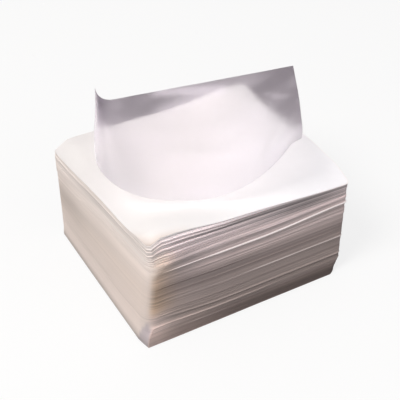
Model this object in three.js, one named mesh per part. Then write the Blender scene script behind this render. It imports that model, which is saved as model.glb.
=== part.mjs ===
// A stack of edible rice paper: a block of several hundred thin sheets lying flat on
// each other, with one loose sheet of the same size lying curled on top of them.
//
// Millimetres, +Z up. The origin is the middle of the block's base, +X runs along the
// sheets' long side and +Y along their short side.

import * as THREE from 'three';
import { mergeVertices } from 'three/addons/utils/BufferGeometryUtils.js';

// Every sheet, and the block that they make.
const sheetLong = 98;
const sheetShort = 85;
const stackHeight = 51;

// Sheets cling together in bundles, and each bundle lies a little out of line.
const bundleCount = 25;
const thinnestBundle = 1;
const thickestBundle = 3.2;
const bundleShiftAcross = 0.8;
const bundleShiftAlong = 0.4;
const bundleTurn = 0.3;
const stepHeight = 0.18;
const shiftSeed = 41;

// The lowest sheets are spread a little, over the short way of the sheets.
const footSpread = 1.1;
const footSpreadHeight = 6;

// The top of the block is not level. Each swell lifts or lowers it at a place, and
// fades out over its reach along X and along Y.
const swells = [
  { place: [-45, -42.5], rise: -4.6, reach: [5.5, 5.5] }, // front left corner, bent down
  { place: [-29, -39], rise: 2.7, reach: [30, 17] }, // front side, puffed up beside it
  { place: [49, -42.5], rise: -3.6, reach: [44, 30] }, // front right corner, sagging
  { place: [49, 42.5], rise: 2.6, reach: [26, 26] }, // back right corner, lifting
  { place: [-49, 42.5], rise: -3.8, reach: [8, 46] }, // back left edge, sagging
];

// How each upright edge of the block is rounded, as setbacks from its sharp corner
// along the two sides, and how full the round is: 1 is round and 0 is cut straight.
// The foot values hold at the base, and ease into the upper values at footHeight.
const uprightEdges = {
  frontLeft: { upper: [5, 5, 0.8], foot: [6.5, 1.3, 0.1], footHeight: 13 },
  frontRight: { upper: [2.6, 2.6, 1], foot: [5.5, 5.5, 0.35], footHeight: 8 },
  backRight: { upper: [3, 3, 1], foot: [3, 3, 1], footHeight: 8 },
  backLeft: { upper: [2, 2, 1], foot: [2, 2, 1], footHeight: 8 },
};
const roundSteps = 5;

// The front of the left side leans in along X: how far at the front corner, for some
// heights. It fades out along the side, and is gone at leanEnd along Y.
const leanByHeight = [[0, 0.3], [12, 1.5], [38, 4.2], [51, 2.8]];
const leanEnd = 15;

// Where the points lie along a straight side, and on the rings that close the top.
const sideFractions = [0.05, 0.1, 0.16, 0.23, 0.31, 0.43, 0.57, 0.69, 0.77, 0.84, 0.9, 0.95];
const capScales = [0.985, 0.94, 0.87, 0.78, 0.64, 0.45, 0.22];

// The loose sheet. Its front end is curled up at both sides into a half pipe, which
// opens out towards its back end. Angles are in degrees, and are the steepest slopes
// that the sheet reaches across its width.
const looseThickness = 0.5;
const looseClearance = 0.45;
const looseFrontMiddle = [-15.5, -29.3];
const looseTurn = -24.7;
const looseDrift = 2.9;
const leftCurl = { slope: 80, power: 1.75, fade: 1.2 };
const rightCurl = { slope: 68, power: 0.8, fade: 1 };
const backTilt = { slope: 9.3, power: 2.4 };
const backLeftLip = { slope: 88, width: 0.26 };
const frontRightFlare = { slope: 38, from: 0.86, to: 0.97, length: 0.48 };
const frontLift = { rise: 2.2, length: 0.35 };
const backLift = { rise: 6.3, from: 0.4 };
const looseColumns = 32;
const looseRows = 18;

const paperWhite = new THREE.Color(0.93, 0.91, 0.9);
const paperCream = new THREE.Color(0.85, 0.8, 0.76);

// A repeatable random number from 0 to 1.
function makeRandom(seed) {
  let state = seed;
  return () => {
    state = (state * 1664525 + 1013904223) % 4294967296;
    return state / 4294967296;
  };
}

function ease(amount) {
  const t = Math.min(1, Math.max(0, amount));
  return t * t * (3 - 2 * t);
}

// ---- the block of sheets ----

const halfLong = sheetLong / 2;
const halfShort = sheetShort / 2;
const cornerPlaces = [
  { name: 'frontLeft', x: -1, y: -1 },
  { name: 'frontRight', x: 1, y: -1 },
  { name: 'backRight', x: 1, y: 1 },
  { name: 'backLeft', x: -1, y: 1 },
];

// Height of the block's top at a place on it.
function topHeight(x, y) {
  let height = stackHeight;
  for (const { place, rise, reach } of swells) {
    const away = Math.hypot((x - place[0]) / reach[0], (y - place[1]) / reach[1]);
    height += rise * (1 - ease(away));
  }
  return height;
}

// Setbacks and fullness of one upright edge at a height.
function uprightEdgeAt(name, height) {
  const { upper, foot, footHeight } = uprightEdges[name];
  const share = ease(height / footHeight);
  return upper.map((value, i) => foot[i] + (value - foot[i]) * share);
}

// The rounded corner as a bent line from the side before it to the side after it.
function cornerPoints(corner, height) {
  const [firstSetback, secondSetback, fullness] = uprightEdgeAt(corner.name, height);
  const spread = footSpread * (1 - ease(height / footSpreadHeight));
  const tip = new THREE.Vector2(corner.x * halfLong, corner.y * (halfShort + spread));
  const alongX = corner.x === corner.y;
  const before = tip.clone();
  const after = tip.clone();
  // On the front left and back right corners the line comes in along Y and leaves along X.
  if (alongX) {
    before.y -= corner.y * firstSetback;
    after.x -= corner.x * secondSetback;
  } else {
    before.x -= corner.x * firstSetback;
    after.y -= corner.y * secondSetback;
  }
  const middle = before.clone().add(after).multiplyScalar(0.5);
  const pull = middle.lerp(tip, fullness);
  const round = new THREE.QuadraticBezierCurve(before, pull, after);
  return round.getPoints(roundSteps);
}

// How far the front left corner leans in at a height.
function leanAt(height) {
  const above = leanByHeight.findIndex(([level]) => level >= height);
  const [highLevel, highLean] = leanByHeight[above];
  const [lowLevel, lowLean] = leanByHeight[Math.max(0, above - 1)];
  const share = (height - lowLevel) / Math.max(highLevel - lowLevel, 1);
  return lowLean + (highLean - lowLean) * share;
}

// Moves a point of the outline in with the lean of the left side.
function leanIn(point, height) {
  const along = (leanEnd - point.y) / (leanEnd + halfShort);
  const share = Math.min(1, Math.max(0, along)) * ease(-point.x / halfLong);
  point.x += leanAt(height) * share;
}

// The block's outline at a height, anticlockwise seen from above.
function outlineAt(height) {
  const outline = [];
  const rounds = cornerPlaces.map((corner) => cornerPoints(corner, height));
  rounds.forEach((round, i) => {
    outline.push(...round);
    const start = round[roundSteps];
    const end = rounds[(i + 1) % rounds.length][0];
    for (const fraction of sideFractions) {
      outline.push(start.clone().lerp(end, fraction));
    }
  });
  outline.forEach((point) => leanIn(point, Math.min(height, stackHeight)));
  return outline;
}

// The bundles from the base up, thick ones below and thin ones on top, each with its
// own small shift and turn.
function makeBundles() {
  const random = makeRandom(shiftSeed);
  const bundles = [];
  for (let i = 0; i < bundleCount; i += 1) {
    const share = i / (bundleCount - 1);
    const plain = thickestBundle + (thinnestBundle - thickestBundle) * share;
    bundles.push({
      thickness: plain * (0.7 + 0.6 * random()),
      shiftX: bundleShiftAlong * (2 * random() - 1),
      shiftY: bundleShiftAcross * (2 * random() - 1),
      turn: THREE.MathUtils.degToRad(bundleTurn * (2 * random() - 1)),
    });
  }
  const total = bundles.reduce((sum, bundle) => sum + bundle.thickness, 0);
  let low = 0;
  for (const bundle of bundles) {
    bundle.low = low;
    low += bundle.thickness * stackHeight / total;
    bundle.high = low;
  }
  return bundles;
}

// One closed line round a bundle. Each point is lowered or raised with the top of the
// block above it.
function bundleRing(bundle, height) {
  const centre = new THREE.Vector2();
  return outlineAt(height).map((point) => {
    const turned = point.clone().rotateAround(centre, bundle.turn);
    const x = turned.x + bundle.shiftX;
    const y = turned.y + bundle.shiftY;
    return new THREE.Vector3(x, y, height * topHeight(point.x, point.y) / stackHeight);
  });
}

// Rings up the sides of all bundles, with a narrow slanted step where two bundles meet.
function sideRings(bundles) {
  const rings = [];
  bundles.forEach((bundle, i) => {
    const isLowest = i === 0;
    const isHighest = i === bundles.length - 1;
    const low = isLowest ? bundle.low : bundle.low + stepHeight / 2;
    const high = isHighest ? bundle.high : bundle.high - stepHeight / 2;
    rings.push(bundleRing(bundle, low));
    rings.push(bundleRing(bundle, high));
  });
  return rings;
}

// Rings that close the top, each on the top surface.
function topRings(bundle) {
  const edge = bundleRing(bundle, stackHeight);
  return capScales.map((scale) => edge.map((point) => {
    const x = point.x * scale;
    const y = point.y * scale;
    return new THREE.Vector3(x, y, topHeight(x, y));
  }));
}

// A closed body from a pile of rings, ended by one point below and one above.
function closedFromRings(rings, below, above) {
  const count = rings[0].length;
  const positions = [];
  const index = [];
  for (const ring of rings) {
    ring.forEach((point) => positions.push(point.x, point.y, point.z));
  }
  positions.push(below.x, below.y, below.z, above.x, above.y, above.z);
  const belowIndex = rings.length * count;
  const aboveIndex = belowIndex + 1;
  const lastRing = (rings.length - 1) * count;
  for (let i = 0; i < count; i += 1) {
    const next = (i + 1) % count;
    index.push(belowIndex, next, i);
    index.push(aboveIndex, lastRing + i, lastRing + next);
    for (let r = 0; r < rings.length - 1; r += 1) {
      const low = r * count;
      const high = low + count;
      index.push(low + i, low + next, high + next);
      index.push(low + i, high + next, high + i);
    }
  }
  return geometryFrom(positions, index);
}

function geometryFrom(positions, index) {
  const geometry = new THREE.BufferGeometry();
  geometry.setAttribute('position', new THREE.Float32BufferAttribute(positions, 3));
  geometry.setIndex(index);
  const merged = mergeVertices(geometry);
  merged.computeVertexNormals();
  return merged;
}

function makeStackGeometry() {
  const bundles = makeBundles();
  const rings = [...sideRings(bundles), ...topRings(bundles[bundles.length - 1])];
  const below = new THREE.Vector3(0, 0, 0);
  const above = new THREE.Vector3(0, 0, topHeight(0, 0));
  return closedFromRings(rings, below, above);
}

// ---- the loose curled sheet ----

// Slope of the loose sheet across its width, in radians. Across runs from -1 at its left
// edge to 1 at its right edge, and along from 0 at its front end to 1 at its back end.
function looseSlope(across, along) {
  const curl = across < 0 ? leftCurl : rightCurl;
  const side = Math.sign(across) * curl.slope * Math.abs(across) ** curl.power;
  let slope = side * (1 - along ** curl.fade);
  slope += backTilt.slope * along ** backTilt.power;
  slope -= backLeftLip.slope * ease(1 - (1 + across) / backLeftLip.width) * ease(along);
  const flareWidth = frontRightFlare.to - frontRightFlare.from;
  const flareShare = ease((across - frontRightFlare.from) / flareWidth);
  slope -= frontRightFlare.slope * flareShare * ease(1 - along / frontRightFlare.length);
  return THREE.MathUtils.degToRad(slope);
}

// Height of the loose sheet's middle line above where it touches.
function looseLift(along) {
  const front = Math.max(0, 1 - along / frontLift.length);
  const back = Math.max(0, (along - backLift.from) / (1 - backLift.from));
  return frontLift.rise * front ** 2 + backLift.rise * back ** 2;
}

// One line of points across the loose sheet, walked outwards from its middle in equal
// steps, so that the sheet keeps its width however it is curled.
function looseRow(along) {
  const half = looseColumns / 2;
  const step = halfLong / half;
  const row = new Array(looseColumns + 1);
  const start = new THREE.Vector3(looseDrift * along, sheetShort * along, looseLift(along));
  row[half] = start;
  for (const side of [-1, 1]) {
    const point = start.clone();
    for (let i = 1; i <= half; i += 1) {
      const slope = looseSlope(side * (i - 0.5) / half, along);
      point.x += side * step * Math.cos(slope);
      point.z += side * step * Math.sin(slope);
      row[half + side * i] = point.clone();
    }
  }
  return row;
}

// Normals of the grid of points, from its neighbours along and across.
function gridNormal(rows, r, c) {
  const last = rows.length - 1;
  const across = rows[r][Math.min(c + 1, looseColumns)].clone();
  across.sub(rows[r][Math.max(c - 1, 0)]);
  const along = rows[Math.min(r + 1, last)][c].clone();
  along.sub(rows[Math.max(r - 1, 0)][c]);
  return across.cross(along).normalize();
}

// Two skins, half the thickness above and below the grid, joined round the rim.
function makeLooseGeometry() {
  const rows = [];
  for (let r = 0; r <= looseRows; r += 1) {
    rows.push(looseRow(r / looseRows));
  }
  const positions = [];
  for (const side of [1, -1]) {
    for (let r = 0; r <= looseRows; r += 1) {
      for (let c = 0; c <= looseColumns; c += 1) {
        const offset = gridNormal(rows, r, c).multiplyScalar(side * looseThickness / 2);
        const point = rows[r][c].clone().add(offset);
        positions.push(point.x, point.y, point.z);
      }
    }
  }
  const width = looseColumns + 1;
  const lower = width * (looseRows + 1);
  const index = [];
  for (let r = 0; r < looseRows; r += 1) {
    for (let c = 0; c < looseColumns; c += 1) {
      const a = r * width + c;
      const b = a + 1;
      const d = a + width;
      const e = d + 1;
      index.push(a, b, e, a, e, d);
      index.push(lower + a, lower + e, lower + b, lower + a, lower + d, lower + e);
    }
  }
  const rim = [];
  for (let c = 0; c < looseColumns; c += 1) rim.push(c);
  for (let r = 0; r < looseRows; r += 1) rim.push(r * width + looseColumns);
  for (let c = looseColumns; c > 0; c -= 1) rim.push(looseRows * width + c);
  for (let r = looseRows; r > 0; r -= 1) rim.push(r * width);
  rim.forEach((a, i) => {
    const b = rim[(i + 1) % rim.length];
    index.push(a, lower + a, lower + b, a, lower + b, b);
  });
  return geometryFrom(positions, index);
}

// ---- the two pieces ----

function paperMaterial(colour) {
  return new THREE.MeshStandardMaterial({ color: colour, roughness: 0.62, metalness: 0 });
}

const stack = new THREE.Mesh(makeStackGeometry(), paperMaterial(paperCream));
stack.name = 'paper_stack';

const loose = new THREE.Mesh(makeLooseGeometry(), paperMaterial(paperWhite));
loose.name = 'loose_sheet';
const looseRestHeight = stackHeight + looseClearance + looseThickness / 2;
loose.position.set(looseFrontMiddle[0], looseFrontMiddle[1], looseRestHeight);
loose.rotation.z = THREE.MathUtils.degToRad(looseTurn);

const ricePaper = new THREE.Group();
ricePaper.name = 'rice_paper';
ricePaper.add(stack, loose);

export default ricePaper;
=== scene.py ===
import math

import bpy
import numpy as np
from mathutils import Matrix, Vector, noise


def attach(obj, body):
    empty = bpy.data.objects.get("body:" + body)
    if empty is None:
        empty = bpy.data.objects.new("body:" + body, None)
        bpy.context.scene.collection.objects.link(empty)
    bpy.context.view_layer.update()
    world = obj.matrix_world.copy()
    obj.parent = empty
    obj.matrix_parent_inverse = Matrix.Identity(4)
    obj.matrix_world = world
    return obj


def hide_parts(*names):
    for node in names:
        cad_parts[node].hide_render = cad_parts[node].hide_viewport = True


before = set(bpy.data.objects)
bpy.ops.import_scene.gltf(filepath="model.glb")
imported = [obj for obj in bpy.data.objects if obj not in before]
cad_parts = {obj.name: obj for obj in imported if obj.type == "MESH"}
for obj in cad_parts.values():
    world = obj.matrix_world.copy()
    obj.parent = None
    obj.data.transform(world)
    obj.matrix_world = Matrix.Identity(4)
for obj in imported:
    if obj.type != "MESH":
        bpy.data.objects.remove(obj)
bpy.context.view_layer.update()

mm = 0.001
rng = np.random.default_rng(29)
white = (1.0, 1.0, 1.0)

# lengths are in millimetres, as on a ruler, and angles in degrees, unless a note says metres
sharpAngle = 42.0


def ease(amount):
    t = np.clip(amount, 0.0, 1.0)
    return t * t * (3.0 - 2.0 * t)


def readTable(table, value):
    # a value from a short table of pairs, straight between them
    places, values = zip(*table)
    return float(np.interp(value, places, values))


def noiseAt(point, scale, third):
    return noise.noise(Vector((point[0] * scale, point[1] * scale, third)))


def meshObject(name, points, faces, materials, faceMaterial=None):
    mesh = bpy.data.meshes.new(name)
    mesh.from_pydata([tuple(p) for p in points], [], faces)
    for material in materials:
        mesh.materials.append(material)
    if faceMaterial is not None:
        mesh.polygons.foreach_set("material_index", faceMaterial)
    mesh.shade_smooth()
    mesh.set_sharp_from_angle(angle=math.radians(sharpAngle))
    mesh.update()
    piece = bpy.data.objects.new(name, mesh)
    bpy.context.scene.collection.objects.link(piece)
    return piece


def storeOnPoints(piece, name, kind, field, values):
    # a value at each point of the mesh, for its material to read
    attribute = piece.data.attributes.new(name, kind, "POINT")
    attribute.data.foreach_set(field, np.asarray(values, dtype=np.float32).ravel())


def newMaterial(name):
    material = bpy.data.materials.new(name)
    material.use_nodes = True
    return material, material.node_tree.nodes, material.node_tree.links


def setInputs(node, **values):
    # values for a node's inputs, named with _ for each space
    for label, value in values.items():
        node.inputs[label.replace("_", " ")].default_value = value
    return node


def colourMix(nodes, first=white, second=white, blend="MIX"):
    mix = nodes.new("ShaderNodeMix")
    mix.data_type = "RGBA"
    mix.blend_type = blend
    return setInputs(mix, A=(*first, 1.0), B=(*second, 1.0))


def shaderMix(nodes, links, share, first, second):
    # the first shader where the share is 0, the second where it is 1
    mix = nodes.new("ShaderNodeMixShader")
    if isinstance(share, float):
        mix.inputs["Fac"].default_value = share
    else:
        links.new(share, mix.inputs["Fac"])
    links.new(first.outputs[0], mix.inputs[1])
    links.new(second.outputs[0], mix.inputs[2])
    return mix


cameraLook = {
    "azimuth": -29.59,
    "elevation": 36.77,
    "distance": 381.1,
    "target": (1.9, 1.1, 27.7),
    "lens": 77.0,
    "sensor": 36.0,
    "nearest": 10.0,
}


def addCamera(look):
    azimuth = math.radians(look["azimuth"])
    elevation = math.radians(look["elevation"])
    back = Vector((
        math.cos(elevation) * math.sin(azimuth),
        -math.cos(elevation) * math.cos(azimuth),
        math.sin(elevation),
    ))
    data = bpy.data.cameras.new("camera")
    data.lens = look["lens"]
    data.sensor_width = look["sensor"]
    data.clip_start = look["nearest"] * mm
    camera = bpy.data.objects.new("camera", data)
    camera.location = Vector(look["target"]) * mm + back * look["distance"] * mm
    camera.rotation_euler = back.to_track_quat("Z", "Y").to_euler()
    bpy.context.scene.collection.objects.link(camera)
    bpy.context.scene.camera = camera


# lamps and floor in metres
studio = {
    "key": {"from": (-0.64, -0.17, 0.8), "distance": 1.4, "size": 0.6, "power": 14.5,
            "colour": (1.0, 0.975, 0.94)},
    "fill": {"from": (0.42, -0.86, 0.28), "distance": 1.0, "size": 0.8, "power": 2.2,
             "colour": (0.97, 0.96, 1.0)},
    "aimHeight": 0.03,
    "skyLight": 0.43,
    "skyHue": (1.0, 0.99, 1.0),
    "throughLight": 0.1,         # how bright floor and sky are, seen through the loose sheet
    "skyHueThrough": (1.0, 0.62, 1.05),
    "floorHueThrough": (1.0, 0.66, 1.0),
    "floorShown": 0.99,
    "floorGlow": 0.8,            # how much of the floor glows, the rest takes soft shadows
    "floorPale": 0.9,
    "floorBounce": 0.13,
    "floorSize": 6.0,
    "floorBelow": 0.0002,
}


def addSoftLight(name, lamp, aimHeight):
    data = bpy.data.lights.new(name, "AREA")
    data.shape = "DISK"
    data.size = lamp["size"]
    data.energy = lamp["power"]
    data.color = lamp["colour"]
    light = bpy.data.objects.new(name, data)
    direction = Vector(lamp["from"]).normalized()
    light.location = direction * lamp["distance"] + Vector((0.0, 0.0, aimHeight))
    light.rotation_euler = direction.to_track_quat("Z", "Y").to_euler()
    light.visible_transmission = False
    bpy.context.scene.collection.objects.link(light)


def seenThroughFilm(nodes, links, path):
    # 1 for what is seen through the loose sheet, 0 for light that comes through it
    direct = nodes.new("ShaderNodeMath")
    direct.operation = "LESS_THAN"
    direct.inputs[1].default_value = 0.5
    both = nodes.new("ShaderNodeMath")
    both.operation = "MULTIPLY"
    links.new(path.outputs["Diffuse Depth"], direct.inputs[0])
    links.new(path.outputs["Is Transmission Ray"], both.inputs[0])
    links.new(direct.outputs["Value"], both.inputs[1])
    return both.outputs["Value"]


def addSky(look):
    world = bpy.data.worlds.new("studio")
    bpy.context.scene.world = world
    world.use_nodes = True
    nodes, links = world.node_tree.nodes, world.node_tree.links
    background = nodes["Background"]
    path = nodes.new("ShaderNodeLightPath")
    seenThrough = seenThroughFilm(nodes, links, path)
    hue = colourMix(nodes, look["skyHue"], look["skyHueThrough"])
    shown = setInputs(nodes.new("ShaderNodeMix"), A=look["skyLight"], B=look["floorShown"])
    through = setInputs(nodes.new("ShaderNodeMix"), B=look["throughLight"])
    links.new(seenThrough, hue.inputs["Factor"])
    links.new(hue.outputs["Result"], background.inputs["Color"])
    links.new(path.outputs["Is Camera Ray"], shown.inputs["Factor"])
    links.new(seenThrough, through.inputs["Factor"])
    links.new(shown.outputs["Result"], through.inputs["A"])
    links.new(through.outputs["Result"], background.inputs["Strength"])


def addFloor(look):
    half = look["floorSize"] / 2
    corners = [(-half, -half, 0.0), (half, -half, 0.0), (half, half, 0.0), (-half, half, 0.0)]
    material, nodes, links = newMaterial("floor")
    nodes.remove(nodes["Principled BSDF"])
    path = nodes.new("ShaderNodeLightPath")
    bounce = nodes.new("ShaderNodeBsdfDiffuse")
    setInputs(bounce, Color=(look["floorBounce"],) * 3 + (1.0,))
    pale = nodes.new("ShaderNodeBsdfDiffuse")
    setInputs(pale, Color=(look["floorPale"],) * 3 + (1.0,))
    glow = setInputs(nodes.new("ShaderNodeEmission"), Strength=look["floorShown"])
    dark = nodes.new("ShaderNodeEmission")
    setInputs(dark, Color=(*look["floorHueThrough"], 1.0), Strength=look["throughLight"])
    shown = shaderMix(nodes, links, look["floorGlow"], pale, glow)
    byCamera = shaderMix(nodes, links, path.outputs["Is Camera Ray"], bounce, shown)
    seenThrough = seenThroughFilm(nodes, links, path)
    byThrough = shaderMix(nodes, links, seenThrough, byCamera, dark)
    links.new(byThrough.outputs[0], nodes["Material Output"].inputs["Surface"])
    floor = meshObject("floor", corners, [(0, 1, 2, 3)], [material])
    floor.location.z = -look["floorBelow"]


def newGroup(name, inputs, outputs):
    group = bpy.data.node_groups.new(name, "ShaderNodeTree")
    for label, kind, value in inputs:
        socket = group.interface.new_socket(name=label, in_out="INPUT", socket_type=kind)
        socket.default_value = value
    for label, kind in outputs:
        group.interface.new_socket(name=label, in_out="OUTPUT", socket_type=kind)
    return group, group.nodes.new("NodeGroupInput"), group.nodes.new("NodeGroupOutput")


def makePaperCloud():
    # soft cloudy light and dark, as where a starch film is thicker or thinner
    group, given, result = newGroup(
        "paperCloud",
        [("Scale", "NodeSocketFloat", 60.0), ("Low", "NodeSocketFloat", 0.0),
         ("High", "NodeSocketFloat", 1.0)],
        [("Shade", "NodeSocketFloat")],
    )
    nodes, links = group.nodes, group.links
    place = nodes.new("ShaderNodeTexCoord")
    cloud = setInputs(nodes.new("ShaderNodeTexNoise"), Detail=4.0, Roughness=0.6)
    spread = setInputs(nodes.new("ShaderNodeMapRange"), From_Min=0.3, From_Max=0.7)
    links.new(place.outputs["Object"], cloud.inputs["Vector"])
    links.new(given.outputs["Scale"], cloud.inputs["Scale"])
    links.new(cloud.outputs["Fac"], spread.inputs["Value"])
    links.new(given.outputs["Low"], spread.inputs["To Min"])
    links.new(given.outputs["High"], spread.inputs["To Max"])
    links.new(spread.outputs["Result"], result.inputs["Shade"])
    return group


def makePaperGrain():
    # fine grain with faint fibres, for bump
    group, given, result = newGroup(
        "paperGrain",
        [("Grain Scale", "NodeSocketFloat", 2600.0), ("Fibre Share", "NodeSocketFloat", 0.35)],
        [("Height", "NodeSocketFloat")],
    )
    nodes, links = group.nodes, group.links
    place = nodes.new("ShaderNodeTexCoord")
    stretch = nodes.new("ShaderNodeMapping")
    setInputs(stretch, Rotation=(0.0, 0.0, 0.5), Scale=(240.0, 1800.0, 700.0))
    fibres = nodes.new("ShaderNodeTexNoise")
    setInputs(fibres, Scale=1.0, Detail=3.0, Distortion=0.6)
    grain = setInputs(nodes.new("ShaderNodeTexNoise"), Detail=2.0)
    both = nodes.new("ShaderNodeMix")
    links.new(place.outputs["Object"], stretch.inputs["Vector"])
    links.new(stretch.outputs["Vector"], fibres.inputs["Vector"])
    links.new(place.outputs["Object"], grain.inputs["Vector"])
    links.new(given.outputs["Grain Scale"], grain.inputs["Scale"])
    links.new(given.outputs["Fibre Share"], both.inputs["Factor"])
    links.new(grain.outputs["Fac"], both.inputs["A"])
    links.new(fibres.outputs["Fac"], both.inputs["B"])
    links.new(both.outputs["Result"], result.inputs["Height"])
    return group


def placeGroup(nodes, group, **values):
    node = nodes.new("ShaderNodeGroup")
    node.node_tree = group
    return setInputs(node, **values)


def readAttribute(nodes, name):
    attribute = nodes.new("ShaderNodeAttribute")
    attribute.attribute_name = name
    return attribute


def addBump(nodes, links, grain, look, shader):
    bump = nodes.new("ShaderNodeBump")
    setInputs(bump, Strength=look["strength"], Distance=look["distance"] * mm)
    links.new(grain.outputs["Height"], bump.inputs["Height"])
    links.new(bump.outputs["Normal"], shader.inputs["Normal"])


def toneRamp(nodes, tones):
    ramp = nodes.new("ShaderNodeValToRGB")
    elements = ramp.color_ramp.elements
    elements[0].position, elements[1].position = tones[0][0], tones[-1][0]
    for place, _ in tones[1:-1]:
        elements.new(place)
    for element, (_, colour) in zip(elements, tones):
        element.color = (*colour, 1.0)
    return ramp


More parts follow.
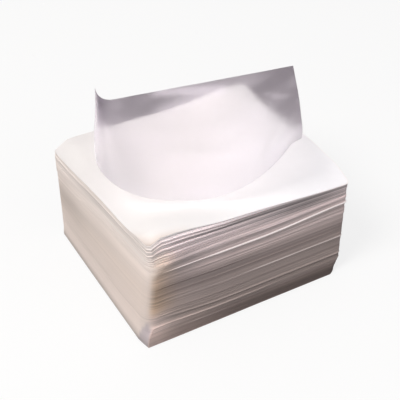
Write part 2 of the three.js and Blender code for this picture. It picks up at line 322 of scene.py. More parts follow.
# the block of sheets; front is the side towards -Y and left the side towards -X
stackLook = {
    "longSide": 98.0,
    "shortSide": 85.0,
    "height": 51.0,
    "sheetCount": 290,
    "sheetShare": 0.8,           # how much of each sheet's room is paper, the rest is air
    "fineSheets": 9,             # sheets at the top whose faces follow every swell
    "openSheets": 1,             # sheets at the top whose white face shows
    "innerRing": 0.66,
    "ringScales": (0.988, 0.965, 0.935, 0.895, 0.84, 0.77, 0.66, 0.48, 0.25),
    "tuck": (0.0, 0.1, 0.25),    # how far the fine sheets below the topmost drop inside the rim
    "roundSteps": 6,
    "sideFractions": (0.05, 0.1, 0.16, 0.23, 0.31, 0.43, 0.57, 0.69, 0.77, 0.84, 0.9, 0.95),

    # each upright edge, above and at the foot: setback before and after it, and fullness
    "uprightEdges": (
        {"side": (-1, -1), "upper": (5.0, 5.0, 0.8), "foot": (6.5, 1.3, 0.1),
         "footHeight": 13.0, "crown": {"setback": 4.5, "from": 36.0, "over": 8.0}},
        {"side": (1, -1), "upper": (2.6, 2.6, 1.0), "foot": (5.5, 5.5, 0.35), "footHeight": 8.0},
        {"side": (1, 1), "upper": (3.0, 3.0, 1.0), "foot": (3.0, 3.0, 1.0), "footHeight": 8.0},
        {"side": (-1, 1), "upper": (2.0, 2.0, 1.0), "foot": (2.0, 2.0, 1.0), "footHeight": 8.0},
    ),
    "footSpread": {"out": 1.1, "height": 6.0},
    # the front of the left side leans in: how far at the corner by height, and where it ends
    "lean": {"byHeight": ((0.0, 0.3), (12.0, 1.5), (38.0, 4.2), (51.0, 2.8)), "end": 15.0},
    # how far the sheets stand out of the left side by height
    "leftLedges": (
        (0.0, 0.04), (10.9, 0.04), (11.1, -0.04), (16.0, 0.0), (39.3, -0.02), (39.5, 0.2),
        (48.6, 0.2), (48.8, -0.04), (50.2, -0.02), (50.35, 0.05), (51.0, 0.05),
    ),

    # where the top rises or falls: place, rise, reach along x and y, and how much of it the
    # sheets at each level of the block still follow
    "swells": (
        {"place": (-45.0, -42.5), "rise": -4.6, "reach": (5.5, 5.5),      # front left, bent down
         "byLevel": ((0.0, 0.0), (0.6, 0.15), (0.78, 0.5), (1.0, 1.0))},
        {"place": (-35.0, -40.0), "rise": 2.9, "reach": (28.0, 17.0),     # puffed up beside it
         "byLevel": ((0.0, 0.0), (0.8, 0.05), (0.93, 0.25), (1.0, 1.0))},
        {"place": (49.0, -42.5), "rise": -3.2, "reach": (60.0, 10.0),     # front right, rolling off
         "byLevel": ((0.0, 0.0), (0.8, 0.05), (0.92, 0.3), (1.0, 1.0))},
        {"place": (-42.0, -42.5), "rise": 1.0, "reach": (32.0, 26.0),     # loose folds front left
         "byLevel": ((0.0, 0.0), (0.08, 0.7), (0.15, 1.3), (0.2, 2.0), (0.4, 1.2), (0.53, 0.8),
                     (0.7, 0.0), (0.8, -1.0), (0.9, -0.2), (1.0, 0.0))},
        {"place": (49.0, -42.5), "rise": 1.0, "reach": (42.0, 30.0),      # loose folds front right
         "byLevel": ((0.0, 0.0), (0.6, 0.3), (0.66, 0.6), (0.706, 2.4), (0.77, 1.2), (0.83, 0.2),
                     (1.0, 0.0))},
        {"place": (49.0, 42.5), "rise": 2.6, "reach": (26.0, 26.0),       # back right, lifting
         "byLevel": ((0.0, 0.0), (0.5, 0.3), (1.0, 1.0))},
        {"place": (49.0, -8.0), "rise": 2.1, "reach": (30.0, 30.0),       # right side, lifting
         "byLevel": ((0.0, 0.0), (0.8, 0.2), (1.0, 1.0))},
        {"place": (30.0, 42.5), "rise": 1.9, "reach": (20.0, 14.0),       # back edge, lifting
         "byLevel": ((0.0, 0.0), (0.85, 0.1), (1.0, 1.0))},
        {"place": (-49.0, 42.5), "rise": -3.8, "reach": (8.0, 46.0),      # back left edge, sagging
         "byLevel": ((0.0, 0.0), (0.77, 0.6), (1.0, 1.0))},
    ),
    "flow": {"height": 0.12, "along": 0.016, "byLevel": 2.2},    # bundles swell and thin out

    # bundles of sheets lie out of line, with odd sheets between them
    "bundleThickness": (0.7, 2.1),
    "bundleOut": 0.09,
    "recess": (0.12, 0.4),
    "recessBelow": 0.25,         # a bundle whose draw is under this starts with a recess
    "proud": (0.1, 0.3),
    "proudBelow": 0.45,
    "oddSheets": 3,
    "proudSheets": 2,
    "tidyBelow": 36.0,           # under this height the edges are pressed more evenly
    "tidyShare": 0.38,
    "leftShare": 0.05,           # the left side is nearly flush
    "jitter": 0.03,
    "turnJitter": 0.02,
    "toneJitter": 0.042,
    # waves in the sheets' edges: scale along the side, scale by height or sheet, and start
    "waveOut": 0.1,
    "slowWave": (0.03, 0.35, 0.0),
    "quickWave": (0.07, 0.8, 50.0),
    "quickShare": 0.5,
    "bundleFade": (0.025, 0.5, 90.0),
    "bundleFadeRange": (0.75, 1.6, 0.1, 1.3),    # middle, swing, least and most
    "frontTurn": (0.35, 0.5),    # an edge counts as front from this turn on, and over how much

    # lines along the front: height, how far out, sheets, tone, and where they start and end; the
    # tone is partly the sheets' own and partly painted, shade on lines set back and highlight on
    # lines that stand out
    "lineFade": 9.0,
    "frontLines": (
        (50.3, -0.15, 2, 0.85, -32, 15), (49.7, 0.2, 1, 1.25, -52, -14),
        (49.2, -0.3, 2, 0.84, -30, 20), (48.7, 0.2, 1, 1.15, -52, 0),
        (47.8, -0.35, 2, 0.74, -40, 60), (46.8, 0.2, 2, 1.15, -52, -10),
        (46.0, 0.1, 2, 1.2, -38, -2), (45.2, -0.2, 1, 0.72, -50, 4),
        (44.1, 0.1, 1, 1.25, -52, 0), (43.4, -0.3, 1, 0.7, -48, 6),
        (42.3, -0.3, 2, 0.7, -46, 6), (41.7, 0.25, 2, 1.15, -8, 49),
        (40.9, 0.1, 2, 1.0, -40, -12), (39.9, 0.2, 2, 1.2, -8, 24),
        (39.8, -0.2, 2, 0.8, -44, -20), (39.2, -0.15, 2, 0.84, -36, 49),
        (38.4, -0.15, 1, 0.85, -36, 10), (36.0, 0.35, 2, 1.75, -42, 60),
        (36.0, 0.3, 2, 1.4, -22, 60), (35.2, 0.1, 1, 1.3, -20, 12),
        (34.1, 0.15, 1, 1.25, 6, 60), (32.8, 0.1, 1, 1.2, 18, 60),
        (32.1, 0.15, 2, 1.15, -28, 60), (30.6, 0.15, 1, 1.25, -18, 34),
        (29.6, 0.1, 1, 1.12, -10, 16), (27.2, -0.3, 3, 0.72, -46, 2),
        (23.4, -0.1, 2, 0.9, -40, 14), (19.8, 0.15, 2, 1.25, -44, 60),
        (19.8, 0.25, 2, 1.4, -2, 60), (18.1, -0.1, 3, 0.92, 0, 60),
        (14.8, -0.1, 3, 0.92, -6, 60), (13.2, -0.1, 1, 0.9, -34, 0),
        (12.3, 0.15, 1, 1.05, -46, -30), (10.2, 0.35, 2, 1.12, -40, 60),
        (9.1, -0.25, 2, 0.84, -34, 60), (7.4, 0.25, 2, 1.1, -38, 14),
        (5.1, 0.1, 1, 1.12, -8, 34), (4.0, 0.15, 1, 1.3, -34, -12),
    ),

    # painted shade on the top sheet: colour from its back left, darker and warmer, to its front
    # right, lighter and cooler; and painted shade on its rim where it rolls over
    "topPaintedShade": (
        (0.0, (0.8, 0.77, 0.765)), (0.15, (0.85, 0.82, 0.81)), (0.3, (0.89, 0.86, 0.855)),
        (0.45, (0.965, 0.935, 0.925)), (0.9, (0.985, 0.972, 1.0)),
    ),
    # painted shade where the top sheet rolls over at the front left corner: place, reach and colour
    "paintedRimShade": {"place": (-46.0, -42.5), "reach": (26.0, 14.0), "colour": (0.71, 0.6, 0.54),
                "fade": (0.95, 0.8, 0.5, 0.2, 0.0)},     # from the rim inwards, ring by ring
    # how light the cut edges are by height: partly the sheets' own tone and partly painted shade,
    # darker towards the foot, and on the front darker all through its lower half
    "frontToneAndShade": (
        (0.0, 0.18), (1.5, 0.13), (4.0, 0.19), (6.0, 0.25), (7.5, 0.33), (9.0, 0.28), (11.0, 0.4),
        (12.5, 0.42), (14.5, 0.34), (16.0, 0.38), (18.0, 0.33), (19.5, 0.37), (22.0, 0.34),
        (23.6, 0.29), (27.0, 0.32), (28.5, 0.44), (31.5, 0.6), (35.0, 0.6), (37.6, 0.7),
        (38.6, 0.58), (40.0, 0.8), (41.5, 0.88), (42.5, 0.68), (44.6, 0.7), (46.4, 0.86),
        (47.2, 0.7), (48.0, 0.42), (49.2, 0.54), (50.3, 0.8), (51.0, 0.9),
    ),
    "leftToneAndShade": (
        (0.0, 0.52), (1.5, 0.62), (3.0, 0.73), (4.5, 0.81), (9.0, 0.79), (12.0, 0.75),
        (16.0, 0.76), (21.0, 0.76), (25.0, 0.74), (31.0, 0.75), (34.0, 0.79), (39.0, 0.87),
        (42.0, 0.89), (45.0, 0.84), (48.0, 0.79), (49.6, 0.84), (51.0, 0.88),
    ),
    "leftSheetTone": 0.1,        # how much of each sheet's own tone shows on the left
    # the hue shifts from brown at the foot to a cool mauve under the top
    "frontHues": (
        (0.0, (1.27, 1.0, 0.92)), (10.0, (1.2, 1.0, 0.93)), (25.0, (1.22, 1.0, 0.95)),
        (49.5, (1.13, 1.0, 1.01)), (51.0, (1.04, 1.0, 1.0)),
    ),
    "leftHues": ((0.0, (1.13, 1.0, 0.94)), (25.0, (1.14, 1.0, 0.92)), (51.0, (1.09, 1.0, 0.96))),
    # soft lighter or darker places, partly the sheets' own tone and partly painted light and shade:
    # centre and reach along the side and in height, and tone
    "frontPatches": (
        {"centre": (26.0, 45.2), "reach": (32.0, 4.4), "tone": 0.54},
        {"centre": (26.0, 49.0), "reach": (34.0, 3.0), "tone": 0.72},
        {"centre": (-38.0, 48.6), "reach": (36.0, 5.2), "tone": 1.68},
        {"centre": (-48.0, 44.5), "reach": (20.0, 9.0), "tone": 1.5},
        {"centre": (-31.0, 40.3), "reach": (13.0, 3.6), "tone": 0.72},
        {"centre": (-35.0, 33.5), "reach": (22.0, 9.0), "tone": 0.72},
        {"centre": (-44.0, 27.0), "reach": (12.0, 9.0), "tone": 1.13},
        {"centre": (-43.0, 1.5), "reach": (48.0, 10.5), "tone": 2.1},
        {"centre": (-47.0, 7.0), "reach": (15.0, 18.0), "tone": 1.7},
        {"centre": (-40.0, 15.0), "reach": (38.0, 7.0), "tone": 1.22},
        {"centre": (40.0, 1.0), "reach": (40.0, 6.0), "tone": 0.85},
        {"centre": (-34.0, 22.0), "reach": (16.0, 9.0), "tone": 1.08},
        {"centre": (30.0, 27.5), "reach": (44.0, 4.0), "tone": 1.13},
    ),
    "leftPatches": (
        {"centre": (34.0, 27.0), "reach": (34.0, 15.0), "tone": 0.81},
        {"centre": (36.0, 40.0), "reach": (26.0, 6.0), "tone": 0.93},
        {"centre": (2.0, 48.0), "reach": (20.0, 2.6), "tone": 0.92},
        {"centre": (-32.0, 40.0), "reach": (36.0, 18.0), "tone": 1.08},
    ),
    # bands along the left side that run down to the back: height in front and behind, half
    # width, tone
    "leftBands": (
        (50.2, 40.2, 2.6, 0.93), (43.4, 35.6, 0.8, 1.1), (42.0, 34.6, 0.5, 0.95),
        (49.0, 46.6, 0.45, 0.9), (33.0, 27.5, 3.0, 0.97), (11.6, 10.6, 0.5, 0.95),
        (10.4, 9.4, 0.5, 1.05),
    ),
    # painted light: how far the left side's lighter colour reaches round the corner onto the front:
    # height, start and reach
    "cornerPaintedLight": ((0.0, -2.5, 4.0), (20.0, -2.5, 4.0), (34.0, -0.8, 5.0), (44.0, 0.5, 11.0)),
    "leftTurn": (0.3, 0.55),     # an edge counts as left from this turn on, and over how much
    "cornerReach": 30.0,         # what belongs to the front left corner fades over this
    # beside the front left edge the front turns a little yellow
    "cornerHue": {"hue": (1.1, 1.0, 0.79), "place": -45.0, "reach": 15.0, "from": 10.0,
                  "fadeIn": 8.0, "to": 42.0, "fadeOut": 6.0},
    # painted shade at the foot of the front left corner: height, tone and hue
    "cornerFootShade": {"height": 12.0, "tone": 0.66, "hue": (1.13, 1.0, 0.99)},
    # painted shade where the corner at the foot looks folded: how high and how far along the left
    # side, and its shade
    "foldedCornerShade": {"height": 12.5, "length": 7.2, "soft": 1.2, "shade": (0.76, 0.765, 0.83),
                     "turn": (0.5, 0.3)},
    "lightest": 0.97,            # no cut edge is lighter than this
    # how much fine line the edges carry: from this height up all, below and on the left less
    "fineLines": {"from": 36.0, "over": 8.0, "below": 0.45, "left": 0.2},
    # the fine lines: scale along the side, scale by sheet, and how dark the darkest are
    "linePatterns": ((9.0, 150.0, 0.72), (8.0, 46.0, 0.86), (14.0, 12.0, 0.93)),

    "faceCloud": {"Scale": 55.0, "Low": 0.96},
    "faceSheen": {"Scale": 140.0, "Low": 0.5, "High": 0.66},
    "edgeGrain": {"Grain_Scale": 3400.0, "Fibre_Share": 0.1},
    "edgeWorn": {"Scale": 90.0, "Low": 0.55, "High": 0.75},
    "bump": {"strength": 0.25, "distance": 0.06},
    "ior": 1.35,
}


def makeFaceMaterial(cloudGroup, grainGroup):
    look = stackLook
    material, nodes, links = newMaterial("sheetFace")
    paper = nodes["Principled BSDF"]
    cloud = placeGroup(nodes, cloudGroup, **look["faceCloud"])
    place = nodes.new("ShaderNodeTexCoord")
    apart = nodes.new("ShaderNodeSeparateXYZ")
    diagonal = nodes.new("ShaderNodeMath")
    diagonal.operation = "SUBTRACT"
    halfDiagonal = (look["longSide"] + look["shortSide"]) / 2 * mm
    along = nodes.new("ShaderNodeMapRange")
    setInputs(along, From_Min=-halfDiagonal, From_Max=halfDiagonal)
    # painted shade across the top sheet, darker and warmer towards its back left
    across = toneRamp(nodes, look["topPaintedShade"])
    tint = setInputs(colourMix(nodes, blend="MULTIPLY"), Factor=1.0)
    links.new(place.outputs["Object"], apart.inputs["Vector"])
    links.new(apart.outputs["X"], diagonal.inputs[0])
    links.new(apart.outputs["Y"], diagonal.inputs[1])
    links.new(diagonal.outputs["Value"], along.inputs["Value"])
    links.new(along.outputs["Result"], across.inputs["Fac"])
    links.new(across.outputs["Color"], tint.inputs["A"])
    links.new(cloud.outputs["Shade"], tint.inputs["B"])
    # painted shade on the top sheet's rim where it rolls over at the front left corner
    rim = readAttribute(nodes, "rimShade")
    wearAndPaintedShade = colourMix(nodes, second=look["paintedRimShade"]["colour"])
    links.new(rim.outputs["Fac"], wearAndPaintedShade.inputs["Factor"])
    links.new(tint.outputs["Result"], wearAndPaintedShade.inputs["A"])
    links.new(wearAndPaintedShade.outputs["Result"], paper.inputs["Base Color"])
    addBump(nodes, links, placeGroup(nodes, grainGroup), look["bump"], paper)
    sheen = placeGroup(nodes, cloudGroup, **look["faceSheen"])
    links.new(sheen.outputs["Shade"], paper.inputs["Roughness"])
    setInputs(paper, IOR=look["ior"])
    return material


def makeEdgeMaterial(cloudGroup, grainGroup):
    # the cut edges: each sheet carries its own tone with painted light and shade, and fine lines
    # run along them
    look = stackLook
    material, nodes, links = newMaterial("cutEdge")
    paper = nodes["Principled BSDF"]
    place = nodes.new("ShaderNodeTexCoord")
    apart = nodes.new("ShaderNodeSeparateXYZ")
    level = readAttribute(nodes, "sheetLevel")
    tint = readAttribute(nodes, "edgeTint")
    links.new(place.outputs["Object"], apart.inputs["Vector"])
    colour = tint.outputs["Color"]
    for alongScale, levelScale, dark in look["linePatterns"]:
        join = nodes.new("ShaderNodeCombineXYZ")
        stretch = nodes.new("ShaderNodeVectorMath")
        stretch.operation = "MULTIPLY"
        stretch.inputs[1].default_value = (alongScale, alongScale, levelScale)
        pattern = setInputs(nodes.new("ShaderNodeTexNoise"), Scale=1.0, Detail=1.5)
        spread = nodes.new("ShaderNodeMapRange")
        setInputs(spread, From_Min=0.32, From_Max=0.68, To_Min=dark, To_Max=2.0 - dark)
        links.new(apart.outputs["X"], join.inputs["X"])
        links.new(apart.outputs["Y"], join.inputs["Y"])
        links.new(level.outputs["Fac"], join.inputs["Z"])
        links.new(join.outputs["Vector"], stretch.inputs[0])
        links.new(stretch.outputs["Vector"], pattern.inputs["Vector"])
        links.new(pattern.outputs["Fac"], spread.inputs["Value"])
        step = colourMix(nodes, blend="MULTIPLY")
        links.new(tint.outputs["Alpha"], step.inputs["Factor"])
        links.new(colour, step.inputs["A"])
        links.new(spread.outputs["Result"], step.inputs["B"])
        colour = step.outputs["Result"]
    links.new(colour, paper.inputs["Base Color"])
    addBump(nodes, links, placeGroup(nodes, grainGroup, **look["edgeGrain"]), look["bump"], paper)
    wearAndPaintedShade = placeGroup(nodes, cloudGroup, **look["edgeWorn"])
    links.new(wearAndPaintedShade.outputs["Shade"], paper.inputs["Roughness"])
    setInputs(paper, IOR=look["ior"])
    return material


def awayFrom(spot, reach, along, across):
    # 0 at a spot and 1 where its reach ends
    return np.hypot((along - spot[0]) / reach[0], (across - spot[1]) / reach[1])


def swellAt(x, y, level):
    # how far the sheet at a level of the block is lifted or lowered at a place
    total = np.zeros(np.shape(x))
    for swell in stackLook["swells"]:
        share = 1.0 - ease(awayFrom(swell["place"], swell["reach"], x, y))
        total += swell["rise"] * readTable(swell["byLevel"], level) * share
    return total


def cornerLine(edge, height, halfLong, halfShort):
    # the rounded corner, from the side before it to the side after it
    share = ease(height / edge["footHeight"])
    first, second, fullness = (
        low + (high - low) * share for low, high in zip(edge["foot"], edge["upper"]))
    if "crown" in edge:
        crown = edge["crown"]
        second += crown["setback"] * ease((height - crown["from"]) / crown["over"])
    sideX, sideY = edge["side"]
    tip = np.array((sideX * halfLong, sideY * halfShort))
    before, after = tip.copy(), tip.copy()
    if sideX == sideY:
        before[1] -= sideY * first
        after[0] -= sideX * second
    else:
        before[0] -= sideX * first
        after[1] -= sideY * second
    pull = (before + after) / 2 * (1 - fullness) + tip * fullness
    t = np.linspace(0.0, 1.0, stackLook["roundSteps"] + 1)[:, None]
    return before * (1 - t) ** 2 + pull * 2 * t * (1 - t) + after * t ** 2


def outlineAt(height):
    # the block's outline at a height, anticlockwise seen from above
    look = stackLook
    spread = look["footSpread"]["out"] * (1.0 - ease(height / look["footSpread"]["height"]))
    halfLong = look["longSide"] / 2
    halfShort = look["shortSide"] / 2 + spread
    rounds = [cornerLine(edge, height, halfLong, halfShort) for edge in look["uprightEdges"]]
    points = []
    for line, following in zip(rounds, rounds[1:] + rounds[:1]):
        points.extend(line)
        start, end = line[-1], following[0]
        points.extend(start + (end - start) * f for f in look["sideFractions"])
    points = np.array(points)
    lean = look["lean"]
    along = np.clip((lean["end"] - points[:, 1]) / (lean["end"] + look["shortSide"] / 2), 0, 1)
    points[:, 0] += readTable(lean["byHeight"], height) * along * ease(-points[:, 0] / halfLong)
    return points


def outwardNormals(outline):
    ahead = np.roll(outline, -1, axis=0) - np.roll(outline, 1, axis=0)
    normal = np.stack((ahead[:, 1], -ahead[:, 0]), axis=1)
    return normal / np.linalg.norm(normal, axis=1)[:, None]


def turnedTo(component, turn):
    # how much an edge belongs to a side, from the part of its normal that points there
    start, over = turn
    return ease((component - start) / over)


def sheetOuts():
    # how far each sheet stands out of the sides: bundles, and odd sheets between them
    look = stackLook
    total = look["sheetCount"]
    pitch = look["height"] / total
    outs = np.zeros(total)
    tones = np.ones(total)
    top = 0.0
    while top < look["height"]:
        thickness = rng.uniform(*look["bundleThickness"])
        first, last = int(top / pitch), int((top + thickness) / pitch)
        share = look["tidyShare"] if top < look["tidyBelow"] else 1.0
        outs[first:last] += rng.normal(0.0, look["bundleOut"]) * share
        tones[first:last] *= 1.0 + rng.normal(0.0, look["toneJitter"])
        kind, sheets = rng.random(), rng.integers(1, look["oddSheets"] + 1)
        if kind < look["recessBelow"]:
            outs[first:first + sheets] -= rng.uniform(*look["recess"]) * share
        elif kind < look["proudBelow"]:
            sheets = min(sheets, look["proudSheets"])
            outs[first:first + sheets] += rng.uniform(*look["proud"]) * share
        top += thickness
    tones *= 1.0 + rng.normal(0.0, look["toneJitter"], total)
    return outs + rng.normal(0.0, look["jitter"], total), tones


def lineAt(number, along):
    # what the named lines do to one sheet: how far out and how light, along the front
    look = stackLook
    pitch, fade = look["height"] / look["sheetCount"], look["lineFade"]
    out, tone = np.zeros(len(along)), np.ones(len(along))
    for height, lineOut, sheets, lineTone, start, end in look["frontLines"]:
        first = int(height / pitch)
        if first <= number < first + sheets:
            share = ease((along - start) / fade) * ease((end - along) / fade)
            out += lineOut * share
            tone *= 1.0 + (lineTone - 1.0) * share
    return out, tone


def waveAt(outline, wave, value):
    scale, step, start = wave
    return np.array([noiseAt(point, scale, value * step + start) for point in outline])


def sheetOutline(height, number, out):
    # one sheet's outline: the block's, pushed out or in, turned, and a little wavy
    look = stackLook
    outline = outlineAt(height)
    normals = outwardNormals(outline)
    flush = np.clip(-normals[:, 0], 0.0, 1.0)
    share = 1.0 - flush * (1.0 - look["leftShare"])
    leftOut = flush * readTable(look["leftLedges"], height)
    lineOut = lineAt(number, outline[:, 0])[0] * turnedTo(-normals[:, 1], look["frontTurn"])
    slow = waveAt(outline, look["slowWave"], height)
    quick = waveAt(outline, look["quickWave"], number)
    wave = look["waveOut"] * (slow + look["quickShare"] * quick)
    middle, swing, least, most = look["bundleFadeRange"]
    strength = np.clip(middle + swing * waveAt(outline, look["bundleFade"], height), least, most)
    push = (out * strength + wave) * share + leftOut + lineOut
    turn = math.radians(rng.normal(0.0, look["turnJitter"]))
    points = outline + normals * push[:, None]
    return points @ np.array(((1.0, turn), (-turn, 1.0)))


def hueAt(hues, height):
    return np.array([readTable([(h, hue[i]) for h, hue in hues], height) for i in range(3)])


def patchTone(patches, along, height):
    tone = np.ones(len(along))
    for patch in patches:
        share = 1.0 - ease(awayFrom(patch["centre"], patch["reach"], along, height))
        tone *= 1.0 + (patch["tone"] - 1.0) * share
    return tone


def bandTone(y, height):
    tone = np.ones(len(y))
    back = y / stackLook["shortSide"] + 0.5
    for front, behind, halfWidth, bandShade in stackLook["leftBands"]:
        away = np.abs(height - (front + (behind - front) * back)) / halfWidth
        tone *= 1.0 + (bandShade - 1.0) * (1.0 - ease(away))
    return tone


def frontColour(x, height, number, sheetTone, onFront, nearFront):
    look = stackLook
    # painted shade by height from the tone table, painted highlight and shade on the lines and
    # patches; lighter lines lose hue as a highlight does
    line = 1.0 + (lineAt(number, x)[1] - 1.0) * onFront
    tone = readTable(look["frontToneAndShade"], height) * sheetTone * line
    tone = tone * patchTone(look["frontPatches"], x, height)
    hue = hueAt(look["frontHues"], height) ** (1.0 / np.maximum(line, 1.0))[:, None]
    near = look["cornerHue"]
    yellow = (1.0 - ease((x - near["place"]) / near["reach"])) * nearFront
    yellow = yellow * ease((height - near["from"]) / near["fadeIn"])
    yellow = (yellow * (1.0 - ease((height - near["to"]) / near["fadeOut"])))[:, None]
    return tone[:, None] * hue * (1.0 - yellow + np.array(near["hue"]) * yellow)


def leftColour(y, height, sheetTone):
    look = stackLook
    # partly painted shade by height, darker towards the foot, and painted light and shade in the
    # patches
    tone = readTable(look["leftToneAndShade"], height) * (1.0 + look["leftSheetTone"] * (sheetTone - 1.0))
    tone = tone * patchTone(look["leftPatches"], y, height) * bandTone(y, height)
    return tone[:, None] * hueAt(look["leftHues"], height)


def edgeTint(height, number, sheetTone):
    # colour of one sheet's cut edge along its outline, with painted light and shade in it, and how
    # much fine line it carries
    look = stackLook
    outline = outlineAt(height)
    normals = outwardNormals(outline)
    x, y = outline[:, 0], outline[:, 1]
    nearFront, nearLeft = ease(-y / look["cornerReach"]), ease(-x / look["cornerReach"])
    onFront = turnedTo(-normals[:, 1], look["frontTurn"])

    # painted light: the left side's lighter colour carried round the corner onto the front
    fromCorner = x + look["longSide"] / 2 - readTable(look["lean"]["byHeight"], height)
    glowHeights, starts, reaches = zip(*look["cornerPaintedLight"])
    start, reach = (np.interp(height, glowHeights, values) for values in (starts, reaches))
    glow = (1.0 - ease((fromCorner - start) / reach)) * nearFront
    left = np.maximum(turnedTo(-normals[:, 0], look["leftTurn"]), glow)[:, None]
    colour = frontColour(x, height, number, sheetTone, onFront, nearFront) * (1.0 - left)
    colour = colour + leftColour(y, height, sheetTone) * left

    # painted shade at the foot of the front left corner
    corner = look["cornerFootShade"]
    foot = ease(-normals[:, 0]) * ease(-normals[:, 1]) * nearFront * nearLeft
    foot = (foot * (1.0 - ease(height / corner["height"])))[:, None]
    colour = colour * (1.0 - foot) + corner["tone"] * np.array(corner["hue"]) * foot
    # painted shade on the corner at the foot, where it looks folded
    fold = look["foldedCornerShade"]
    foldEnd = y.min() + fold["length"] * (1.0 - height / fold["height"])
    folded = ease((foldEnd - y) / fold["soft"] + 0.5) * turnedTo(-normals[:, 0], fold["turn"])
    folded = (folded * ease(fold["height"] - height))[:, None]
    colour = colour * (1.0 - folded * (1.0 - np.array(fold["shade"])))
    colour = colour / np.maximum(colour.max(axis=1) / look["lightest"], 1.0)[:, None]

    fine = look["fineLines"]
    upper = ease((height - fine["from"]) / fine["over"])
    lines = (1.0 - (1.0 - fine["left"]) * left[:, 0]) * (1.0 - foot[:, 0])
    lines = lines * (fine["below"] + (1.0 - fine["below"]) * upper)
    return np.column_stack((colour, lines))


def flowOf(level, outline):
    # the sheets don't lie quite level: bundles swell and thin out along the block
    flow = stackLook["flow"]
    waves = waveAt(outline, (flow["along"], flow["byLevel"], 0.0), level)
    return flow["height"] * waves * math.sin(math.pi * level)


def sheetRings(level, outline, inner, scales, tuck):
    # rings from the rim inwards, and the middle, at one level of the block
    rings = []
    for ring, scale in enumerate((1.0, *scales)):
        line = outline if scale == 1.0 else inner * scale
        x, y = line[:, 0], line[:, 1]
        z = level * stackLook["height"] + swellAt(x, y, level) + flowOf(level, line)
        z = z - tuck[min(ring, len(tuck) - 1)]
        rings.append(np.stack((x, y, z), axis=1))
    height = level * stackLook["height"] + float(swellAt(0.0, 0.0, level)) - tuck[-1]
    middle = (0.0, 0.0, height)
    return np.concatenate(rings + [np.array([middle])])


def rimShadeOf(points, count):
    # painted shade on the top sheet where it rolls over at the front left corner
    wearAndPaintedShade = stackLook["paintedRimShade"]
    near = 1.0 - ease(awayFrom(wearAndPaintedShade["place"], wearAndPaintedShade["reach"], points[:, 0], points[:, 1]))
    ring = np.minimum(np.arange(len(points)) // count, len(wearAndPaintedShade["fade"]) - 1)
    return near * np.array(wearAndPaintedShade["fade"])[ring]


def sheetFaces(count, ringCount, base, openTop):
    # upper face, lower face and the rim between them; only the sheets at the top show a face
    # of their own, the others look like their cut edge all over
    lower = base + count * ringCount + 1
    step = np.arange(count)
    pairs = list(zip(step, (step + 1) % count))
    faces, isEdge = [], []
    for r in range(ringCount - 1):
        a, b = base + r * count, base + (r + 1) * count
        faces += [(a + i, a + j, b + j, b + i) for i, j in pairs]
        isEdge += [0 if openTop else 1] * count
        c, d = lower + r * count, lower + (r + 1) * count
        faces += [(c + i, d + i, d + j, c + j) for i, j in pairs]    # split like the upper face
        isEdge += [1] * count
    last = base + (ringCount - 1) * count
    lastLower = lower + (ringCount - 1) * count
    faces += [(last + i, last + j, base + count * ringCount) for i, j in pairs]
    isEdge += [0 if openTop else 1] * count
    faces += [(lastLower + j, lastLower + i, lower + count * ringCount) for i, j in pairs]
    faces += [(lower + i, lower + j, base + j, base + i) for i, j in pairs]
    isEdge += [1] * (2 * count)
    return [tuple(int(i) for i in face) for face in faces], isEdge


def buildStack(faceMaterial, edgeMaterial):
    look = stackLook
    total = look["sheetCount"]
    points, faces, edges, levels, tints, rims = [], [], [], [], [], []
    outs, tones = sheetOuts()
    base = 0
    for number in range(total):
        low = number / total
        high = 1.0 if number == total - 1 else low + look["sheetShare"] / total
        level = (low + high) / 2
        height = level * look["height"]
        outline = sheetOutline(height, number, outs[number])
        tint = edgeTint(height, number, tones[number])
        fine = number >= total - look["fineSheets"]
        openTop = number >= total - look["openSheets"]
        inner = outlineAt(look["height"] if fine else height)
        scales = look["ringScales"] if fine else (look["innerRing"],)
        tuck = look["tuck"] if fine and not openTop else (0.0,)
        upper = sheetRings(high, outline, inner, scales, tuck)
        lower = sheetRings(low, outline, inner, scales, tuck)
        sheet, isEdge = sheetFaces(len(outline), len(scales) + 1, base, openTop)
        points += [upper, lower]
        faces += sheet
        edges += isEdge
        levels += [level] * (len(upper) + len(lower))
        tint = np.concatenate((np.tile(tint, (len(scales) + 1, 1)), tint[:1]))
        tints += [tint, tint]
        rims += [rimShadeOf(upper, len(outline)), rimShadeOf(lower, len(outline))]
        base += len(upper) + len(lower)
    piece = meshObject(
        "stackedSheets", np.concatenate(points) * mm, faces, [faceMaterial, edgeMaterial], edges)
    storeOnPoints(piece, "sheetLevel", "FLOAT", "value", levels)
    storeOnPoints(piece, "edgeTint", "FLOAT_COLOR", "color", np.concatenate(tints))
    storeOnPoints(piece, "rimShade", "FLOAT", "value", np.concatenate(rims))
    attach(piece, "root")
    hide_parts("paper_stack")
    return piece


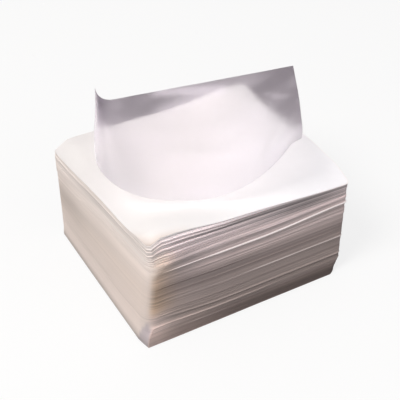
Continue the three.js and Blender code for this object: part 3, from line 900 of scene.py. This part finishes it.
# the loose sheet; across runs from -1 at its left to 1, along from 0 at its front to 1
looseLook = {
    "thickness": 0.12,
    "clearance": 0.45,
    "cadThickness": 0.5,
    "frontMiddle": (-15.5, -29.3),
    "turn": -24.7,
    "drift": 2.9,
    "leftCurl": {"slope": 80.0, "power": 1.75, "fade": 1.2},
    "rightCurl": {"slope": 68.0, "power": 0.8, "fade": 1.0},
    "backTilt": {"slope": 9.3, "power": 2.4},
    "backLeftLip": {"slope": 88.0, "width": 0.26},
    "frontRightFlare": {"slope": 38.0, "start": 0.86, "end": 0.97, "length": 0.48},
    "frontLift": {"rise": 2.2, "length": 0.35},
    "backLift": {"rise": 6.3, "start": 0.4},
    "columns": 112,
    "rows": 96,
    # faint waves, strongest within some rows of the rim
    "ripple": {"height": 0.12, "along": 0.09, "seed": 7.0, "rimRows": 12.0, "inside": 0.25},

    # how milky the film is, with a random cloud, and streaks that are painted sheen where the film
    # is milkier and painted shade where it is clearer: start, end, width, and how much is added
    "milk": 0.45,
    "milkCloud": {"amount": 0.12, "across": 1.3, "along": 7.0, "seed": 3.0},
    "paintedSheenStreaks": (
        ((-0.3, 0.99), (0.26, 0.92), 0.04, 0.55),
        ((-0.95, 0.35), (-0.8, 0.55), 0.1, 0.3),
        ((-0.95, 0.6), (-0.7, 0.9), 0.1, 0.12),
        ((0.72, 0.8), (0.9, 0.7), 0.03, 0.2),
        ((-0.28, 0.84), (0.02, 0.88), 0.045, 0.3),
        ((0.93, 0.36), (0.94, 0.64), 0.07, -0.42),
        ((0.6, 0.84), (1.0, 0.96), 0.05, -0.3),
    ),
    "cloud": {"Scale": 45.0, "Low": -0.12, "High": 0.12},
    "clearTint": (0.862, 0.843, 0.862),
    "milkyTint": (0.965, 0.957, 0.968),
    "blur": (0.6, 1.0),          # clear and milky
    "haze": {"from": 0.36, "most": 0.27, "colour": (0.95, 0.88, 0.96)},
    "body": {"share": 0.06, "colour": (0.98, 0.95, 0.98)},
    "lampLight": 0.71,           # how much of the lamps' light gets through each face
    "transmission": 0.88,
    "ior": 1.08,
    "coat": 0.15,
    "coatRoughness": 0.35,
    "bump": {"strength": 0.2, "distance": 0.05},
}


def makeLooseMaterial(cloudGroup, grainGroup):
    # a milky film: part of the light is scattered, the rest goes through a little blurred
    look = looseLook
    material, nodes, links = newMaterial("looseFilm")
    paper = nodes["Principled BSDF"]
    # the milkiness carries painted sheen and shade streaks as well as the film's own cloud
    milky = readAttribute(nodes, "milkinessAndPaintedSheen")
    cloud = placeGroup(nodes, cloudGroup, **look["cloud"])
    share = nodes.new("ShaderNodeMath")
    share.operation = "ADD"
    share.use_clamp = True
    clearBlur, milkyBlur = look["blur"]
    blur = setInputs(nodes.new("ShaderNodeMapRange"), To_Min=clearBlur, To_Max=milkyBlur)
    tint = colourMix(nodes, look["clearTint"], look["milkyTint"])
    links.new(milky.outputs["Fac"], share.inputs[0])
    links.new(cloud.outputs["Shade"], share.inputs[1])
    links.new(share.outputs["Value"], tint.inputs["Factor"])
    links.new(share.outputs["Value"], blur.inputs["Value"])
    links.new(blur.outputs["Result"], paper.inputs["Roughness"])
    links.new(tint.outputs["Result"], paper.inputs["Base Color"])
    addBump(nodes, links, placeGroup(nodes, grainGroup), look["bump"], paper)
    setInputs(paper, IOR=look["ior"], Transmission_Weight=look["transmission"],
              Coat_Weight=look["coat"], Coat_Roughness=look["coatRoughness"])
    hazeShare = nodes.new("ShaderNodeMapRange")
    setInputs(hazeShare, From_Min=look["haze"]["from"], To_Max=look["haze"]["most"])
    links.new(share.outputs["Value"], hazeShare.inputs["Value"])
    haze = setInputs(nodes.new("ShaderNodeBsdfDiffuse"), Color=(*look["haze"]["colour"], 1.0))
    milk = nodes.new("ShaderNodeBsdfTranslucent")
    setInputs(milk, Color=(*look["body"]["colour"], 1.0))
    clear = nodes.new("ShaderNodeBsdfTransparent")
    setInputs(clear, Color=(look["lampLight"],) * 3 + (1.0,))
    path = nodes.new("ShaderNodeLightPath")
    hazy = shaderMix(nodes, links, hazeShare.outputs["Result"], paper, haze)
    body = shaderMix(nodes, links, look["body"]["share"], hazy, milk)
    film = shaderMix(nodes, links, path.outputs["Is Shadow Ray"], body, clear)
    links.new(film.outputs[0], nodes["Material Output"].inputs["Surface"])
    return material


def looseSlope(across, along):
    look = looseLook
    left, right = look["leftCurl"], look["rightCurl"]
    size = np.abs(across)
    slope = np.where(
        across < 0,
        -left["slope"] * size ** left["power"] * (1 - along ** left["fade"]),
        right["slope"] * size ** right["power"] * (1 - along ** right["fade"]),
    )
    tilt, lip, flare = look["backTilt"], look["backLeftLip"], look["frontRightFlare"]
    slope = slope + tilt["slope"] * along ** tilt["power"]
    slope = slope - lip["slope"] * ease(1 - (1 + across) / lip["width"]) * ease(along)
    flareShare = ease((across - flare["start"]) / (flare["end"] - flare["start"]))
    slope = slope - flare["slope"] * flareShare * ease(1 - along / flare["length"])
    return np.radians(slope)


def looseGrid():
    # rows of points walked outwards from the middle line, so the sheet keeps its width
    look = looseLook
    columns, rows = look["columns"], look["rows"]
    half = columns // 2
    step = stackLook["longSide"] / columns
    along = np.linspace(0.0, 1.0, rows + 1)
    grid = np.zeros((rows + 1, columns + 1, 3))
    front, back = look["frontLift"], look["backLift"]
    lift = front["rise"] * np.clip(1 - along / front["length"], 0, None) ** 2
    lift += back["rise"] * np.clip((along - back["start"]) / (1 - back["start"]), 0, None) ** 2
    grid[:, half, 0] = look["drift"] * along
    grid[:, half, 1] = stackLook["shortSide"] * along
    grid[:, half, 2] = lift
    for side in (-1, 1):
        for i in range(1, half + 1):
            slope = looseSlope(np.full(rows + 1, side * (i - 0.5) / half), along)
            here, before = half + side * i, half + side * (i - 1)
            grid[:, here, 0] = grid[:, before, 0] + side * step * np.cos(slope)
            grid[:, here, 1] = grid[:, before, 1]
            grid[:, here, 2] = grid[:, before, 2] + side * step * np.sin(slope)
    turn = math.radians(look["turn"])
    x, y = grid[..., 0].copy(), grid[..., 1].copy()
    grid[..., 0] = look["frontMiddle"][0] + x * math.cos(turn) - y * math.sin(turn)
    grid[..., 1] = look["frontMiddle"][1] + x * math.sin(turn) + y * math.cos(turn)
    grid[..., 2] += stackLook["height"] + look["clearance"] + look["cadThickness"] / 2
    return grid


def gridNormals(grid):
    across = np.gradient(grid, axis=1)
    along = np.gradient(grid, axis=0)
    normal = np.cross(across, along)
    return normal / np.linalg.norm(normal, axis=2)[..., None]


def addRipples(grid, normal):
    # faint waves, strongest at the rim where the thin film has dried unevenly
    ripple = looseLook["ripple"]
    rows, columns = grid.shape[:2]
    for r in range(rows):
        for c in range(columns):
            fromRim = min(r, c, rows - 1 - r, columns - 1 - c) / ripple["rimRows"]
            strength = ripple["inside"] + (1.0 - ripple["inside"]) * max(0.0, 1.0 - fromRim)
            wave = noiseAt(grid[r, c], ripple["along"], ripple["seed"])
            grid[r, c] = grid[r, c] + normal[r, c] * wave * ripple["height"] * strength
    return grid


def milkAt(across, along):
    # how milky the film is at a point of the sheet, painted sheen and shade streaks included
    cloud = looseLook["milkCloud"]
    place = Vector((across * cloud["across"], along * cloud["along"], cloud["seed"]))
    milk = looseLook["milk"] + cloud["amount"] * noise.noise(place)
    # painted sheen and shade streaks
    for start, end, width, strength in looseLook["paintedSheenStreaks"]:
        run = np.subtract(end, start)
        share = np.clip(np.dot(np.subtract((across, along), start), run) / np.dot(run, run), 0, 1)
        nearest = np.add(start, share * run)
        # across runs over 2 and along over 1
        away = math.hypot((across - nearest[0]) / 2, along - nearest[1]) / width
        milk += strength * math.exp(-away * away)
    return min(max(milk, 0.0), 1.0)


def buildLooseSheet(material):
    grid = looseGrid()
    grid = addRipples(grid, gridNormals(grid))
    normal = gridNormals(grid)
    rows, columns = grid.shape[:2]
    offset = normal * looseLook["thickness"] / 2
    points = np.concatenate(((grid + offset).reshape(-1, 3), (grid - offset).reshape(-1, 3)))
    lower = rows * columns
    faces = []
    for r in range(rows - 1):
        for c in range(columns - 1):
            a = r * columns + c
            quad = (a, a + 1, a + columns + 1, a + columns)
            faces.append(quad)
            faces.append(tuple(lower + quad[i] for i in (0, 3, 2, 1)))    # split like the upper
    rim = list(range(columns))
    rim += [r * columns + columns - 1 for r in range(1, rows)]
    rim += [(rows - 1) * columns + c for c in range(columns - 2, -1, -1)]
    rim += [r * columns for r in range(rows - 2, 0, -1)]
    for a, b in zip(rim, rim[1:] + rim[:1]):
        faces.append((a, lower + a, lower + b, b))
    piece = meshObject("looseSheet", points * mm, faces, [material])
    acrosses = np.linspace(-1.0, 1.0, columns)
    milk = [milkAt(across, along) for along in np.linspace(0.0, 1.0, rows) for across in acrosses]
    storeOnPoints(piece, "milkinessAndPaintedSheen", "FLOAT", "value", milk + milk)    # both faces
    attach(piece, "root")
    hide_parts("loose_sheet")
    return piece


addCamera(cameraLook)
addSoftLight("key", studio["key"], studio["aimHeight"])
addSoftLight("fill", studio["fill"], studio["aimHeight"])
addSky(studio)
addFloor(studio)
bpy.context.scene.view_settings.view_transform = "Standard"
print("camera, lights and floor are in place")

paperCloud = makePaperCloud()
paperGrain = makePaperGrain()
faceMaterial = makeFaceMaterial(paperCloud, paperGrain)
edgeMaterial = makeEdgeMaterial(paperCloud, paperGrain)
looseMaterial = makeLooseMaterial(paperCloud, paperGrain)
print("paper materials are made")

stackedSheets = buildStack(faceMaterial, edgeMaterial)
print("block of sheets:", len(stackedSheets.data.polygons), "faces")
looseSheet = buildLooseSheet(looseMaterial)
print("loose sheet:", len(looseSheet.data.polygons), "faces")
